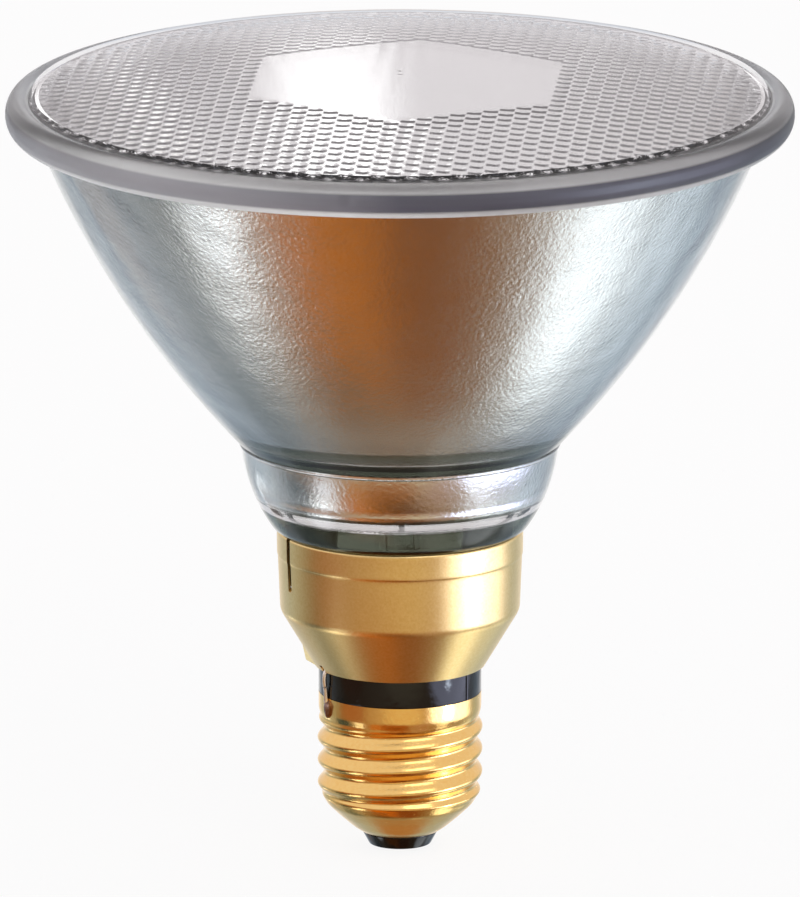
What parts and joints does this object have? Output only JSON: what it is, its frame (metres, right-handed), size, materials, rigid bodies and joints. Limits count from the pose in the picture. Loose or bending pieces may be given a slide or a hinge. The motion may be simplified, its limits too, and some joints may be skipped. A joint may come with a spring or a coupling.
{
  "type": "par reflector spot lamp bulb",
  "caption": "Sealed glass reflector spot bulb: silvered parabolic bowl, stippled lens with a clear hexagon, brass skirt and screw cap",
  "frame": {"origin": "the flat tip of the solder on the centre contact, on the lamp's axis", "axes": "+Z along the lamp's axis from the cap to the lens, -Y towards the side seen in the picture, +X to the picture's right"},
  "size_m": [0.1238, 0.1238, 0.1257],
  "materials": {
    "lens_glass": "clear pressed glass, stippled inside",
    "bowl_glass": "clear pressed glass with a light orange-peel skin",
    "silvering": "mirror film of metal",
    "inner_glass": "clear drawn glass",
    "ferrule_metal": "drawn nickel-iron",
    "support_metal": "bright drawn wire",
    "filament_metal": "grey coiled tungsten",
    "skirt_brass": "spun thin brass",
    "black_glass": "black insulating glass",
    "shell_brass": "rolled thin brass",
    "contact_brass": "plain stamped brass",
    "solder": "dull tin solder",
    "lead_metal": "tinned wire"
  },
  "bodies": {
    "root": {"lens": "lens_glass", "reflector": "bowl_glass", "reflector_coating": "silvering", "exhaust_tube": "inner_glass", "ferrule_live": "ferrule_metal", "ferrule_neutral": "ferrule_metal", "support_rod_live": "support_metal", "support_rod_neutral": "support_metal", "filament": "filament_metal", "filament_bridge": "inner_glass", "filament_hook": "support_metal", "skirt": "skirt_brass", "skirt_insulator": "black_glass", "screw_shell": "shell_brass", "tip_insulator": "black_glass", "centre_contact": "contact_brass", "contact_solder": "solder", "centre_lead_wire": "lead_metal", "side_lead_wire": "lead_metal", "side_solder": "solder"}
  },
  "joints": []
}
